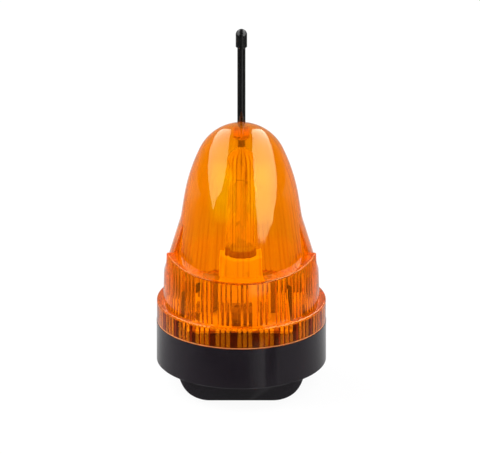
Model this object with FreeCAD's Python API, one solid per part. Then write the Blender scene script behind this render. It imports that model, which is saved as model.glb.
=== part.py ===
import FreeCAD, Part
import math
import os

# Amber gate flasher: round black base on a boat-shaped foot, stepped lens, whip antenna.
# Millimetres, +Z up, front towards -Y, origin in the middle of the foot's flat underside.

# foot
FOOT_HEIGHT = 14.6
FOOT_FLAT_HALF = 20.5
FOOT_FLANK_RADIUS = 21.0
FOOT_HALF_DEPTH = 37.7
FOOT_WALL = 2.8
FOOT_CORNER = 8.0
MOUNT_SPACING_X = 28.0
MOUNT_SPACING_Y = 40.0
MOUNT_HOLE_RADIUS = 2.3
CABLE_HOLE_RADIUS = 9.0
FOOT_SCREW_X = 16.0
FOOT_SCREW_Y = 30.0

# base
BASE_RADIUS = 55.0
BASE_EDGE = 0.5
BASE_WALL = 2.8
BASE_FLOOR = 3.0
SEAM_Z = 42.0
SPIGOT_RADIUS = 50.8
SPIGOT_TOP = 47.6
SPIGOT_WALL = 2.0
LENS_SCREW_X = 44.0
GROMMET_RADIUS = 7.0
CABLE_RADIUS = 3.6

# lens
LENS_GAP = 0.3
LENS_WALL = 2.5
FLANGE_RADIUS = 54.8
LEDGE_Z = 56.5
COLLAR_FOOT_RADIUS = 50.7
COLLAR_TOP_RADIUS = 49.6
COLLAR_TOP_Z = 96.0
SHELF_FRONT_Z = 86.0
SHELF_RISE = 0.17
HORN_Y = -11.7
RIM_RADIUS = 0.7
POLE_Z = 176.3
CAP_RADIUS = 30.0
CAP_ANGLE = 65.0
OGIVE_RADIUS = 122.0
CONE_ANGLE = 8.6
FLARE_TOP_Z = 112.4
FLARE_SLOPE = 0.298
RIB_GROUPS = 24
RIBS_PER_GROUP = 3
RIB_WINDOW = 8.0 / 29.0
RIB_START = -7.24
RIB_DEPTH = 0.45
BOSS_TOP = 74.0

# antenna
ANTENNA_Y = 12.5
ROD_RADIUS = 2.65
TIP_RADIUS = 3.7
TIP_LENGTH = 12.4
ANTENNA_TOP = 237.3
STUD_RADIUS = 2.5
STUD_BOTTOM = 145.0
STUD_TOP = 162.4
PIN_RADIUS = 1.2
SOCKET_DEPTH = 3.0
WASHER_HEIGHT = 1.2
LEAD_Y = 16.6
LEAD_RADIUS = 1.1

# board and lamp
BOARD_SIZE = 63.0
BOARD_Z = 43.7
BOARD_THICK = 1.6
BOARD_SCREW = 27.0
HOLDER_RADIUS = 14.0
HOLDER_TOP = 88.0
BULB_RADIUS = 9.4
BULB_TOP = 160.4
SLEEVE_RADIUS = 7.6
MOUTH_DEPTH = 5.0
GLASS_WALL = 0.9
FLUTES = 18
FLUTE_RADIUS = 1.3
FLUTE_DEPTH = 0.35
TERMINAL_X = (-6.0, 7.0)
TERMINAL_Y = (-28.0, -18.0)
FUSE_X = -26.5
FUSE_Y = (-20.0, 0.0)

BOARD_TOP = BOARD_Z + BOARD_THICK
FLOOR_TOP = FOOT_HEIGHT + BASE_FLOOR
LENS_BOTTOM = SEAM_Z + LENS_GAP
CROWN_SEAT = POLE_Z - CAP_RADIUS + math.sqrt(CAP_RADIUS ** 2 - ANTENNA_Y ** 2)
TERMINAL_TOP = BOARD_TOP + 14.0
FUSE_Z = BOARD_TOP + 6.0
HOLDER_FLOOR = BOARD_TOP + 12.0
CAP_BOTTOM = HOLDER_FLOOR + 4.5
COLLAR_BOTTOM = HOLDER_TOP - MOUTH_DEPTH + 0.6
GLASS_BOTTOM = HOLDER_TOP + 1.0
STEM_BOTTOM = GLASS_BOTTOM + GLASS_WALL
UP = FreeCAD.Vector(0, 0, 1)


def vec(x, y, z):
    return FreeCAD.Vector(x, y, z)


def cylinder(radius, bottom, top, x=0.0, y=0.0):
    return Part.makeCylinder(radius, top - bottom, vec(x, y, bottom), UP)


def tube(outer, inner, bottom, top, x=0.0, y=0.0):
    return cylinder(outer, bottom, top, x, y).cut(cylinder(inner, bottom - 1, top + 1, x, y))


def box(x0, x1, y0, y1, z0, z1):
    return Part.makeBox(x1 - x0, y1 - y0, z1 - z0, vec(x0, y0, z0))


def revolve(edges, angle=360.0):
    face = Part.Face(Part.Wire(edges))
    return face.revolve(vec(0, 0, 0), UP, angle)


def polygon_edges(points):
    vectors = [vec(r, 0, z) for r, z in points]
    return [Part.makeLine(a, b) for a, b in zip(vectors, vectors[1:])]


def revolve_points(points):
    return revolve(polygon_edges(points + points[:1]))


def mirrored_places(x, y):
    return [(sx * x, sy * y) for sx in (-1, 1) for sy in (-1, 1)]


def fused(shapes):
    return shapes[0].multiFuse(shapes[1:]).removeSplitter()


def pan_screw(x, y, seat_z, direction, head_radius, head_height, shank_radius, shank_length):
    """A pan head on its seat, the shank running in the given direction along Z."""
    head = cylinder(head_radius, 0, head_height)
    head = head.makeFillet(head_height * 0.45, [head.Edges[0]])
    slot_half = head_radius * 0.62
    head = head.cut(box(-slot_half, slot_half, -0.45, 0.45, head_height * 0.5, head_height + 1))
    head = head.cut(box(-0.45, 0.45, -slot_half, slot_half, head_height * 0.5, head_height + 1))
    shank = cylinder(shank_radius, -shank_length, 0)
    tip = shank.makeChamfer(shank_radius * 0.4, [shank.Edges[2]])
    screw = fused([head, tip])
    if direction > 0:
        screw.rotate(vec(0, 0, 0), vec(1, 0, 0), 180)
    screw.translate(vec(x, y, seat_z))
    return screw


def boat_outline(inset):
    """The foot's front outline: flat underside between two large flank arcs."""
    radius = FOOT_FLANK_RADIUS - inset
    centre_z = FOOT_FLANK_RADIUS
    top = FOOT_HEIGHT
    half = FOOT_FLAT_HALF
    reach = math.sqrt(radius ** 2 - (centre_z - top) ** 2)
    mid_angle = 0.5 * math.atan2(reach, centre_z - top)
    points = []
    for side in (1, -1):
        start = vec(side * half, 0, centre_z - radius)
        mid = vec(side * (half + radius * math.sin(mid_angle)), 0, centre_z - radius * math.cos(mid_angle))
        end = vec(side * (half + reach), 0, top)
        points.append((start, mid, end))
    right, left = points
    return [
        Part.makeLine(left[0], right[0]),
        Part.Arc(right[0], right[1], right[2]).toShape(),
        Part.makeLine(right[2], left[2]),
        Part.Arc(left[2], left[1], left[0]).toShape(),
    ]


def boat(inset):
    depth = FOOT_HALF_DEPTH - inset
    face = Part.Face(Part.Wire(boat_outline(inset)))
    body = face.extrude(vec(0, 2 * depth, 0))
    body.translate(vec(0, -depth, 0))
    half_width = body.BoundBox.XMax
    corner = FOOT_CORNER - inset
    plan = box(-half_width, half_width, -depth, depth, -1, FOOT_HEIGHT + 1)
    upright = [e for e in plan.Edges if abs(e.tangentAt(e.FirstParameter).z) > 0.99]
    return body.common(plan.makeFillet(corner, upright))


def mounting_foot():
    foot = boat(0.0).cut(boat(FOOT_WALL))
    for x, y in mirrored_places(FOOT_SCREW_X, FOOT_SCREW_Y):
        boss = cylinder(4.2, 1.0, FOOT_HEIGHT, x, y).common(boat(0.0))
        foot = foot.fuse(boss)
    rib = box(-1.0, 1.0, CABLE_HOLE_RADIUS + 2, FOOT_HALF_DEPTH - 1, 1.0, FOOT_HEIGHT - 2)
    foot = foot.fuse(rib)
    foot = foot.fuse(rib.mirror(vec(0, 0, 0), vec(0, 1, 0)))
    for x, y in mirrored_places(FOOT_SCREW_X, FOOT_SCREW_Y):
        foot = foot.cut(cylinder(1.55, 4.0, FOOT_HEIGHT + 1, x, y))
    for x, y in mirrored_places(MOUNT_SPACING_X / 2, MOUNT_SPACING_Y / 2):
        foot = foot.cut(cylinder(MOUNT_HOLE_RADIUS, -1, FOOT_WALL + 1, x, y))
    foot = foot.cut(cylinder(CABLE_HOLE_RADIUS, -1, FOOT_WALL + 1))
    return foot.removeSplitter()


def base_shell():
    inner = BASE_RADIUS - BASE_WALL
    spigot_in = SPIGOT_RADIUS - SPIGOT_WALL
    return revolve_points([
        (0, FOOT_HEIGHT),
        (BASE_RADIUS - BASE_EDGE, FOOT_HEIGHT),
        (BASE_RADIUS, FOOT_HEIGHT + BASE_EDGE),
        (BASE_RADIUS, SEAM_Z),
        (SPIGOT_RADIUS, SEAM_Z),
        (SPIGOT_RADIUS, SPIGOT_TOP - 0.8),
        (SPIGOT_RADIUS - 0.8, SPIGOT_TOP),
        (spigot_in, SPIGOT_TOP),
        (spigot_in, SEAM_Z - 6),
        (inner, SEAM_Z - 10),
        (inner, FLOOR_TOP),
        (0, FLOOR_TOP),
    ])


def base_housing():
    base = base_shell()
    pillars = [cylinder(5.6, FOOT_HEIGHT + 0.5, SEAM_Z - 0.3, side * LENS_SCREW_X) for side in (-1, 1)]
    webs = [box(-1.2, 1.2, 0, 9.5, FLOOR_TOP - 1, SEAM_Z - 8) for _ in pillars]
    webs[0].rotate(vec(0, 0, 0), UP, 90)
    webs[0].translate(vec(-LENS_SCREW_X, 0, 0))
    webs[1].rotate(vec(0, 0, 0), UP, -90)
    webs[1].translate(vec(LENS_SCREW_X, 0, 0))
    posts = [cylinder(3.6, FLOOR_TOP - 1, BOARD_Z, x, y) for x, y in mirrored_places(BOARD_SCREW, BOARD_SCREW)]
    collar = cylinder(GROMMET_RADIUS + 2.5, FLOOR_TOP - 1, FLOOR_TOP + 2)
    base = base.multiFuse(pillars + webs + posts + [collar])
    for side in (-1, 1):
        base = base.cut(cylinder(4.3, FOOT_HEIGHT - 1, 33.0, side * LENS_SCREW_X))
        base = base.cut(cylinder(2.3, 30.0, SEAM_Z + 1, side * LENS_SCREW_X))
    for x, y in mirrored_places(BOARD_SCREW, BOARD_SCREW):
        base = base.cut(cylinder(1.25, BOARD_Z - 10, BOARD_Z + 1, x, y))
    for x, y in mirrored_places(FOOT_SCREW_X, FOOT_SCREW_Y):
        base = base.cut(cylinder(2.1, FOOT_HEIGHT - 1, FLOOR_TOP + 1, x, y))
    base = base.cut(cylinder(GROMMET_RADIUS, FOOT_HEIGHT - 1, FLOOR_TOP + 3))
    groove = tube(54.0, 52.4, SEAM_Z - 1.0, SEAM_Z + 1)
    return base.cut(groove).removeSplitter()


def lens_gasket():
    return tube(53.9, 52.5, SEAM_Z - 1.0, SEAM_Z)


def cable_grommet():
    bottom = FOOT_HEIGHT
    top = FLOOR_TOP + 2
    profile = [
        (CABLE_RADIUS, bottom - 2.0),
        (GROMMET_RADIUS + 2.0, bottom - 2.0),
        (GROMMET_RADIUS + 2.0, bottom),
        (GROMMET_RADIUS, bottom),
        (GROMMET_RADIUS, top),
        (GROMMET_RADIUS + 2.0, top),
        (GROMMET_RADIUS + 0.4, top + 2.2),
        (CABLE_RADIUS, top + 2.2),
    ]
    return revolve_points(profile)


def arc_edge(radius, centre, start, end):
    """Arc in the XZ plane, angles measured from +Z in degrees."""
    angles = [math.radians(a) for a in (start, 0.5 * (start + end), end)]
    points = [vec(centre[0] + radius * math.sin(a), 0, centre[1] + radius * math.cos(a)) for a in angles]
    return Part.Arc(*points).toShape(), points[0], points[2]


def dome_edges(inset):
    """Half outline of the bullet from its pole to the end of the cone, and the cone's line."""
    cap_centre = (0.0, POLE_Z - CAP_RADIUS)
    turn = math.radians(CAP_ANGLE)
    shift = CAP_RADIUS - OGIVE_RADIUS
    ogive_centre = (shift * math.sin(turn), cap_centre[1] + shift * math.cos(turn))
    cap, pole, _ = arc_edge(CAP_RADIUS - inset, cap_centre, 0.0, CAP_ANGLE)
    ogive, _, end = arc_edge(OGIVE_RADIUS - inset, ogive_centre, CAP_ANGLE, 90.0 - CONE_ANGLE)
    return [cap, ogive], pole, end


def cone_radius(end, z):
    return end.x + (end.z - z) * math.tan(math.radians(CONE_ANGLE))


def closed_profile(edges, start, points):
    last = edges[-1].valueAt(edges[-1].LastParameter)
    path = [last] + [vec(r, 0, z) for r, z in points] + [start]
    lines = [Part.makeLine(a, b) for a, b in zip(path, path[1:])]
    return edges + lines


def dome(inset):
    """The bullet from its pole down to the ledge."""
    edges, pole, end = dome_edges(inset)
    points = [(cone_radius(end, LEDGE_Z), LEDGE_Z), (0, LEDGE_Z)]
    return revolve(closed_profile(edges, pole, points))


def above_shelf(drop):
    """All the room above the sloping shelf, which rises from the front towards the horns."""
    room = box(-80, 80, -20, 160, 0, 120)
    room.rotate(vec(0, 0, 0), vec(1, 0, 0), math.degrees(math.atan(SHELF_RISE)))
    room.translate(vec(0, -COLLAR_TOP_RADIUS, SHELF_FRONT_Z - drop))
    return room


def front_room(inset):
    return box(-80, 80, -80, HORN_Y + inset, 0, 300)


def rear_room(inset):
    return box(-80, 80, HORN_Y + inset, 80, 0, 300)


def front_collar():
    """The tall collar in front, cut off by the shelf, with a rounded rim."""
    collar = revolve_points([
        (0, LEDGE_Z),
        (COLLAR_FOOT_RADIUS, LEDGE_Z),
        (COLLAR_TOP_RADIUS, COLLAR_TOP_Z),
        (0, COLLAR_TOP_Z),
    ])
    collar = collar.cut(above_shelf(0.0)).common(front_room(0.0))
    rim = [e for e in collar.Edges if e.BoundBox.ZMin > SHELF_FRONT_Z - 1 and e.Length > 100]
    return collar.makeFillet(RIM_RADIUS, rim)


def flare(inset):
    """The plain flare behind, from the dome's cone out to the collar's wall."""
    _, _, end = dome_edges(inset)
    start = cone_radius(end, FLARE_TOP_Z)
    wall = COLLAR_TOP_RADIUS + 0.4 - inset
    low = LEDGE_Z - inset
    return revolve_points([
        (0, low),
        (COLLAR_FOOT_RADIUS - inset, low),
        (wall, FLARE_TOP_Z - (wall - start) / FLARE_SLOPE),
        (start, FLARE_TOP_Z),
        (0, FLARE_TOP_Z),
    ])


def flange():
    return revolve_points([
        (0, LENS_BOTTOM),
        (FLANGE_RADIUS, LENS_BOTTOM),
        (FLANGE_RADIUS, LEDGE_Z - 0.9),
        (FLANGE_RADIUS - 0.9, LEDGE_Z),
        (0, LEDGE_Z),
    ])


def wall_arc(radius, middle_radius, start, end, z):
    """Arc round the axis, angles in degrees from the front; its middle may stand in or out."""
    points = []
    for r, angle in ((radius, start), (middle_radius, 0.5 * (start + end)), (radius, end)):
        turn = math.radians(angle)
        points.append(vec(r * math.sin(turn), -r * math.cos(turn), z))
    return Part.Arc(*points).toShape()


def ribbed_outline(radius, z):
    """Inside of the ribbed wall: groups of round upright ribs with a plain window between them."""
    edges = []
    group = 360.0 / RIB_GROUPS
    window = group * RIB_WINDOW
    rib = (group - window) / RIBS_PER_GROUP
    for i in range(RIB_GROUPS):
        start = RIB_START + i * group
        edges.append(wall_arc(radius, radius, start, start + window, z))
        for j in range(RIBS_PER_GROUP):
            first = start + window + j * rib
            edges.append(wall_arc(radius, radius - RIB_DEPTH, first, first + rib, z))
    return Part.Wire(edges)


def ribbed_collar():
    low = ribbed_outline(COLLAR_FOOT_RADIUS - LENS_WALL, LEDGE_Z - LENS_WALL)
    high = ribbed_outline(COLLAR_TOP_RADIUS - LENS_WALL, COLLAR_TOP_Z)
    return Part.makeLoft([low, high], True, True)


def ribbed_flange():
    bottom = LENS_BOTTOM - 1
    outline = ribbed_outline(FLANGE_RADIUS - LENS_WALL, bottom)
    return Part.Face(outline).extrude(vec(0, 0, LEDGE_Z - LENS_WALL - bottom))


def collar_rooms():
    """Inside of the collar in front, of the flare behind, and what both share at the horns."""
    collar = ribbed_collar()
    under_shelf = collar.cut(above_shelf(LENS_WALL))
    inner_flare = flare(LENS_WALL)
    return [
        under_shelf.common(front_room(-LENS_WALL)),
        collar.common(inner_flare).common(rear_room(LENS_WALL)),
        under_shelf.common(inner_flare),
    ]


def lens_bosses(solid):
    """Two screw bosses tied to the wall, and the antenna's boss under the crown."""
    bosses = []
    for side in (-1, 1):
        bosses.append(cylinder(4.5, LENS_BOTTOM, BOSS_TOP, side * LENS_SCREW_X))
        tie = box(0, 5.0, -1.2, 1.2, LEDGE_Z - 1, BOSS_TOP)
        if side < 0:
            tie = tie.mirror(vec(0, 0, 0), vec(1, 0, 0))
        tie.translate(vec(side * LENS_SCREW_X, 0, 0))
        bosses.append(tie.common(solid))
    crown = cylinder(5.5, STUD_TOP + WASHER_HEIGHT, CROWN_SEAT + 5, 0, ANTENNA_Y)
    return bosses + [crown.common(solid)]


def lens():
    solid = fused([dome(0.0), front_collar(), flare(0.0).common(rear_room(0.0)), flange()])
    shell = solid
    for room in [dome(LENS_WALL), ribbed_flange()] + collar_rooms():
        shell = shell.cut(room)
    shell = shell.multiFuse(lens_bosses(solid)).removeSplitter()
    for side in (-1, 1):
        shell = shell.cut(cylinder(2.0, LENS_BOTTOM - 1, 58.0, side * LENS_SCREW_X))
    shell = shell.cut(cylinder(PIN_RADIUS + 0.1, STUD_TOP, CROWN_SEAT, 0, ANTENNA_Y))
    return shell.cut(cylinder(ROD_RADIUS, CROWN_SEAT - SOCKET_DEPTH, CROWN_SEAT + 9, 0, ANTENNA_Y))


def lens_screws():
    screws = [pan_screw(side * LENS_SCREW_X, 0, 33.0, 1, 3.8, 2.6, 1.9, 22.0) for side in (-1, 1)]
    return Part.makeCompound(screws)


def foot_screws():
    places = mirrored_places(FOOT_SCREW_X, FOOT_SCREW_Y)
    return Part.makeCompound([pan_screw(x, y, FLOOR_TOP, -1, 3.6, 2.4, 1.5, 11.0) for x, y in places])


def circuit_board():
    half = BOARD_SIZE / 2
    board = box(-half, half, -half, half, BOARD_Z, BOARD_TOP)
    upright = [e for e in board.Edges if abs(e.tangentAt(e.FirstParameter).z) > 0.99]
    board = board.makeFillet(2.0, upright)
    for x, y in mirrored_places(BOARD_SCREW, BOARD_SCREW):
        board = board.cut(cylinder(1.7, BOARD_Z - 1, BOARD_TOP + 1, x, y))
    for side in (-1, 1):
        board = board.cut(cylinder(1.3, BOARD_Z - 1, BOARD_TOP + 1, 0, side * 11.0))
    return board


def board_screws():
    places = mirrored_places(BOARD_SCREW, BOARD_SCREW)
    return Part.makeCompound([pan_screw(x, y, BOARD_TOP, -1, 2.9, 2.0, 1.2, 9.0) for x, y in places])


def terminal_places():
    x0, x1 = TERMINAL_X
    step = (x1 - x0) / 2
    return [x0 + step * 0.5, x0 + step * 1.5]


def terminal_block():
    x0, x1 = TERMINAL_X
    y0, y1 = TERMINAL_Y
    block = box(x0, x1, y0, y1, BOARD_TOP, TERMINAL_TOP)
    top_front = [e for e in block.Edges if e.BoundBox.ZMin > TERMINAL_TOP - 0.01 and e.BoundBox.YMax < y0 + 0.01]
    block = block.makeChamfer(2.5, top_front)
    middle = 0.5 * (y0 + y1)
    for x in terminal_places():
        block = block.cut(box(x - 2.2, x + 2.2, y0 - 1, y0 + 5.0, BOARD_TOP + 2.0, BOARD_TOP + 6.5))
        block = block.cut(cylinder(2.2, TERMINAL_TOP - 5.0, TERMINAL_TOP + 1, x, middle))
    return block


def terminal_screws():
    middle = 0.5 * sum(TERMINAL_Y)
    screws = []
    for x in terminal_places():
        screw = cylinder(2.1, TERMINAL_TOP - 4.8, TERMINAL_TOP - 1.4, x, middle)
        slot = box(x - 3, x + 3, middle - 0.4, middle + 0.4, TERMINAL_TOP - 2.4, TERMINAL_TOP)
        screws.append(screw.cut(slot))
    return Part.makeCompound(screws)


def film_capacitor():
    body = box(22.6, 30.4, -19.0, -2.0, BOARD_TOP, BOARD_TOP + 14.5)
    return body.makeFillet(0.7, body.Edges)


def smoothing_capacitors():
    cans = []
    for side in (-1, 1):
        can = cylinder(5.0, BOARD_TOP, BOARD_TOP + 20.0, side * 20.6, 5.0)
        can = can.makeFillet(0.9, [can.Edges[0], can.Edges[2]])
        groove = tube(6.0, 4.5, BOARD_TOP + 2.4, BOARD_TOP + 3.4, side * 20.6, 5.0)
        cans.append(can.cut(groove))
    return Part.makeCompound(cans)


def bridge_rectifier():
    body = box(14.0, 29.0, 20.5, 24.5, BOARD_TOP + 2.0, BOARD_TOP + 13.0)
    body = body.makeChamfer(1.2, [body.Edges[0]])
    legs = [box(x - 0.5, x + 0.5, 22.0, 23.0, BOARD_TOP, BOARD_TOP + 2.5) for x in (16.0, 20.0, 23.0, 27.0)]
    return fused([body] + legs)


def relay():
    body = box(-24.0, -9.0, 19.0, 29.0, BOARD_TOP, BOARD_TOP + 15.0)
    return body.makeFillet(0.6, body.Edges)


def fuse_clips():
    clips = []
    for y in (FUSE_Y[0] + 2.6, FUSE_Y[1] - 2.6):
        ring = Part.makeCylinder(3.2, 4.0, vec(FUSE_X, y - 2.0, FUSE_Z), vec(0, 1, 0))
        bore = Part.makeCylinder(2.65, 6.0, vec(FUSE_X, y - 3.0, FUSE_Z), vec(0, 1, 0))
        mouth = box(FUSE_X - 1.7, FUSE_X + 1.7, y - 3, y + 3, FUSE_Z, FUSE_Z + 5)
        leg = box(FUSE_X - 1.6, FUSE_X + 1.6, y - 2.0, y + 2.0, BOARD_TOP, FUSE_Z - 2.5)
        clips.append(ring.fuse(leg).cut(bore).cut(mouth).removeSplitter())
    return Part.makeCompound(clips)


def fuse_tube():
    return Part.makeCylinder(2.2, FUSE_Y[1] - FUSE_Y[0] - 1.0, vec(FUSE_X, FUSE_Y[0] + 0.5, FUSE_Z), vec(0, 1, 0))


def fuse_caps():
    caps = []
    for start, side in ((FUSE_Y[0], 1), (FUSE_Y[1], -1)):
        cap = Part.makeCylinder(2.6, 5.2, vec(FUSE_X, start, FUSE_Z), vec(0, side, 0))
        room = Part.makeCylinder(2.2, 6.0, vec(FUSE_X, start + side * 0.5, FUSE_Z), vec(0, side, 0))
        caps.append(cap.cut(room))
    return Part.makeCompound(caps)


def lamp_holder():
    holder = cylinder(HOLDER_RADIUS, BOARD_TOP, HOLDER_TOP)
    rim = [e for e in holder.Edges if e.BoundBox.ZMin > HOLDER_TOP - 0.01 and e.Length > 50]
    holder = holder.makeFillet(1.2, rim)
    holder = holder.cut(cylinder(SLEEVE_RADIUS + 0.6, HOLDER_FLOOR, HOLDER_TOP + 1))
    holder = holder.cut(cylinder(BULB_RADIUS + 1.2, HOLDER_TOP - MOUTH_DEPTH, HOLDER_TOP + 1))
    holder = holder.cut(cylinder(3.2, HOLDER_FLOOR - 6.0, HOLDER_FLOOR + 1))
    for side in (-1, 1):
        holder = holder.cut(cylinder(1.3, BOARD_TOP - 1, BOARD_TOP + 9.0, 0, side * 11.0))
    for turn in range(0, 360, 30):
        flute = cylinder(1.2, BOARD_TOP + 16.0, HOLDER_TOP - 8.0, HOLDER_RADIUS + 0.6, 0)
        flute.rotate(vec(0, 0, 0), UP, turn + 15)
        holder = holder.cut(flute)
    return holder


def holder_screws():
    screws = [pan_screw(0, side * 11.0, BOARD_Z, 1, 2.4, 1.8, 1.2, 9.0) for side in (-1, 1)]
    return Part.makeCompound(screws)


def holder_sleeve():
    return tube(SLEEVE_RADIUS + 0.6, SLEEVE_RADIUS, HOLDER_FLOOR + 1.0, HOLDER_TOP - MOUTH_DEPTH - 1.0)


def holder_contact():
    post = cylinder(2.4, HOLDER_FLOOR - 6.0, HOLDER_FLOOR + 1.5)
    button = cylinder(3.0, HOLDER_FLOOR + 1.0, HOLDER_FLOOR + 2.2)
    return fused([post, button])


def bulb_cap():
    crest = SLEEVE_RADIUS - 0.1
    root = SLEEVE_RADIUS - 0.8
    points = [(0, CAP_BOTTOM), (4.0, CAP_BOTTOM), (root, CAP_BOTTOM + 2.5)]
    z = CAP_BOTTOM + 2.5
    while z + 2.82 < COLLAR_BOTTOM - 1.0:
        points.append((root, z + 0.5))
        points.append((crest, z + 1.4))
        points.append((root, z + 2.3))
        z += 2.82
    points += [(root, COLLAR_BOTTOM), (0, COLLAR_BOTTOM)]
    return revolve_points(points)


def bulb_contact():
    return cylinder(2.6, CAP_BOTTOM - 2.0, CAP_BOTTOM)


def bulb_collar():
    return revolve_points([
        (0, COLLAR_BOTTOM),
        (BULB_RADIUS + 0.7, COLLAR_BOTTOM),
        (BULB_RADIUS + 0.7, HOLDER_TOP + 3.0),
        (BULB_RADIUS + 0.1, HOLDER_TOP + 4.0),
        (BULB_RADIUS, HOLDER_TOP + 4.0),
        (BULB_RADIUS, HOLDER_TOP + 1.0),
        (0, HOLDER_TOP + 1.0),
    ])


def glass_form(inset):
    radius = BULB_RADIUS - inset
    body = cylinder(radius, GLASS_BOTTOM + (inset if inset else 0), BULB_TOP - BULB_RADIUS)
    crown = Part.makeSphere(radius, vec(0, 0, BULB_TOP - BULB_RADIUS))
    return fused([body, crown])


def bulb_flutes():
    """Round upright grooves in the glass that run out on its crown."""
    reach = BULB_RADIUS + FLUTE_RADIUS - FLUTE_DEPTH
    top = BULB_TOP - BULB_RADIUS + 3.0
    grooves = []
    for i in range(FLUTES):
        angle = math.radians(360.0 * i / FLUTES - 90.0)
        x = reach * math.cos(angle)
        y = reach * math.sin(angle)
        grooves.append(cylinder(FLUTE_RADIUS, HOLDER_TOP + 5.0, top, x, y))
    return Part.makeCompound(grooves)


def bulb_glass():
    outer = glass_form(0.0).cut(bulb_flutes())
    return outer.cut(glass_form(GLASS_WALL))


def bulb_stem():
    stem = revolve_points([
        (0, STEM_BOTTOM),
        (4.6, STEM_BOTTOM),
        (2.6, STEM_BOTTOM + 8.0),
        (1.6, STEM_BOTTOM + 16.0),
        (0, STEM_BOTTOM + 17.0),
    ])
    return stem.cut(bulb_supports())


def bulb_supports():
    bottom = STEM_BOTTOM + 15.0
    wires = []
    for side in (-1, 1):
        start = vec(side * 1.0, 0, bottom)
        bend = vec(side * 4.5, 0, bottom + 12)
        end = vec(side * 4.5, 0, bottom + 30)
        path = Part.makePolygon([start, bend, end])
        ring = Part.Wire(Part.makeCircle(0.35, start, bend - start))
        wires.append(path.makePipeShell([ring], True, False, 1))
    return Part.makeCompound(wires)


def bulb_filament():
    bottom = STEM_BOTTOM + 45.0
    arc = Part.Arc(vec(-4.5, 0, bottom), vec(0, 0, bottom + 3.5), vec(4.5, 0, bottom)).toShape()
    ring = Part.Wire(Part.makeCircle(0.5, vec(-4.5, 0, bottom), arc.tangentAt(arc.FirstParameter)))
    coil = Part.Wire([arc]).makePipeShell([ring], True, False)
    return coil.cut(bulb_supports())


def antenna_washer():
    return tube(4.2, PIN_RADIUS, STUD_TOP, STUD_TOP + WASHER_HEIGHT, 0, ANTENNA_Y)


def antenna_pin():
    """Brass core that ties the whip, the lens's boss and the ridged stud together."""
    return cylinder(PIN_RADIUS, STUD_BOTTOM + 2.0, CROWN_SEAT + 1.0, 0, ANTENNA_Y)


def antenna_stud():
    """Ridged sleeve nut under the boss, with the contact pin at its lower end."""
    crest = STUD_RADIUS
    root = STUD_RADIUS - 0.55
    points = [(0, STUD_BOTTOM), (root, STUD_BOTTOM)]
    z = STUD_BOTTOM
    while z + 1.5 < STUD_TOP:
        points.append((crest, z + 0.6))
        points.append((crest, z + 0.8))
        points.append((root, z + 1.4))
        z += 1.4
    points += [(root, STUD_TOP), (0, STUD_TOP)]
    stud = revolve_points(points)
    stud.translate(vec(0, ANTENNA_Y, 0))
    contact = cylinder(PIN_RADIUS, STUD_BOTTOM - 6.0, STUD_BOTTOM + 1.0, 0, ANTENNA_Y)
    bore = cylinder(PIN_RADIUS, STUD_BOTTOM + 2.0, STUD_TOP + 1, 0, ANTENNA_Y)
    return stud.fuse(contact).cut(bore).removeSplitter()


def antenna_rod():
    bottom = CROWN_SEAT - SOCKET_DEPTH
    top = ANTENNA_TOP - TIP_LENGTH + 8.0
    rod = cylinder(ROD_RADIUS, bottom, top, 0, ANTENNA_Y)
    return rod.cut(cylinder(PIN_RADIUS, bottom - 1, CROWN_SEAT + 1.0, 0, ANTENNA_Y))


def antenna_tip():
    bottom = ANTENNA_TOP - TIP_LENGTH
    body = cylinder(TIP_RADIUS, bottom, ANTENNA_TOP - TIP_RADIUS, 0, ANTENNA_Y)
    body = body.makeChamfer(0.6, [e for e in body.Edges if e.BoundBox.ZMax < bottom + 0.01])
    crown = Part.makeSphere(TIP_RADIUS, vec(0, ANTENNA_Y, ANTENNA_TOP - TIP_RADIUS))
    tip = fused([body, crown])
    return tip.cut(cylinder(ROD_RADIUS, bottom - 1, bottom + 8.0, 0, ANTENNA_Y))


def antenna_cup():
    top = STUD_BOTTOM - 1.0
    return tube(2.2, 1.5, top - 6.0, top, 0, ANTENNA_Y).fuse(cylinder(2.2, top - 7.5, top - 6.0, 0, ANTENNA_Y))


def antenna_lead():
    top = STUD_BOTTOM - 8.5
    low = vec(0, LEAD_Y, BOARD_TOP)
    bend = vec(0, LEAD_Y, top - 14)
    joint = vec(0, ANTENNA_Y, top - 4)
    path = Part.makePolygon([low, bend, joint, vec(0, ANTENNA_Y, top)])
    ring = Part.Wire(Part.makeCircle(LEAD_RADIUS, low, UP))
    return path.makePipeShell([ring], True, False, 1)


NODES = {
    "mounting_foot": mounting_foot,
    "foot_screws": foot_screws,
    "base_housing": base_housing,
    "cable_grommet": cable_grommet,
    "lens_gasket": lens_gasket,
    "lens_screws": lens_screws,
    "circuit_board": circuit_board,
    "board_screws": board_screws,
    "terminal_block": terminal_block,
    "terminal_screws": terminal_screws,
    "film_capacitor": film_capacitor,
    "smoothing_capacitors": smoothing_capacitors,
    "bridge_rectifier": bridge_rectifier,
    "relay": relay,
    "fuse_clips": fuse_clips,
    "fuse_tube": fuse_tube,
    "fuse_caps": fuse_caps,
    "lamp_holder": lamp_holder,
    "holder_screws": holder_screws,
    "holder_sleeve": holder_sleeve,
    "holder_contact": holder_contact,
    "bulb_cap": bulb_cap,
    "bulb_contact": bulb_contact,
    "bulb_collar": bulb_collar,
    "bulb_glass": bulb_glass,
    "bulb_stem": bulb_stem,
    "bulb_supports": bulb_supports,
    "bulb_filament": bulb_filament,
    "antenna_lead": antenna_lead,
    "antenna_cup": antenna_cup,
    "lens": lens,
    "antenna_washer": antenna_washer,
    "antenna_pin": antenna_pin,
    "antenna_stud": antenna_stud,
    "antenna_rod": antenna_rod,
    "antenna_tip": antenna_tip,
}


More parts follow.
